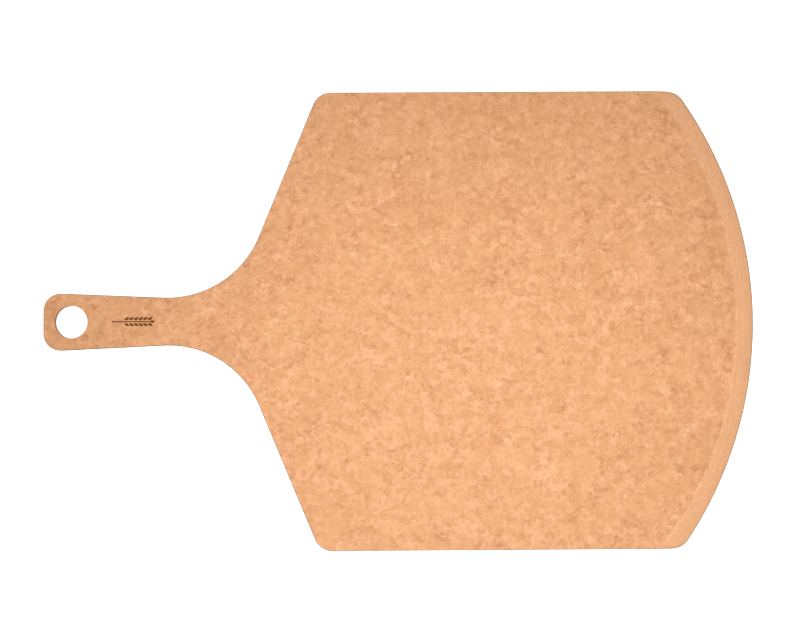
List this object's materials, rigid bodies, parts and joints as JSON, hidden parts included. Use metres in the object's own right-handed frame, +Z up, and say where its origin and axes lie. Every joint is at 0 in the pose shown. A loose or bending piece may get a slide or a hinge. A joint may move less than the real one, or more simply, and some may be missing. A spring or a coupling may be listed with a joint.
{
  "type": "pizza peel",
  "caption": "Thin one-board pizza peel: broad blade with a curved bevelled front, angled shoulders and a short tapered handle with a round hanging hole.",
  "frame": {"origin": "under the middle of the board's length and width, on its lower face", "axes": "+X along the board from the handle to the blade's front, +Y across, +Z up through its thickness"},
  "size_m": [0.5512, 0.3556, 0.0063],
  "materials": {
    "face_sheet": "satin",
    "core_sheet": "satin"
  },
  "bodies": {
    "root": {"face_sheet_bottom": "face_sheet", "core_sheet_01": "core_sheet", "core_sheet_02": "core_sheet", "core_sheet_03": "core_sheet", "core_sheet_04": "core_sheet", "core_sheet_05": "core_sheet", "core_sheet_06": "core_sheet", "core_sheet_07": "core_sheet", "core_sheet_08": "core_sheet", "core_sheet_09": "core_sheet", "core_sheet_10": "core_sheet", "core_sheet_11": "core_sheet", "core_sheet_12": "core_sheet", "core_sheet_13": "core_sheet", "core_sheet_14": "core_sheet", "core_sheet_15": "core_sheet", "core_sheet_16": "core_sheet", "core_sheet_17": "core_sheet", "core_sheet_18": "core_sheet", "core_sheet_19": "core_sheet", "core_sheet_20": "core_sheet", "core_sheet_21": "core_sheet", "core_sheet_22": "core_sheet", "core_sheet_23": "core_sheet", "face_sheet_top": "face_sheet"}
  },
  "joints": []
}
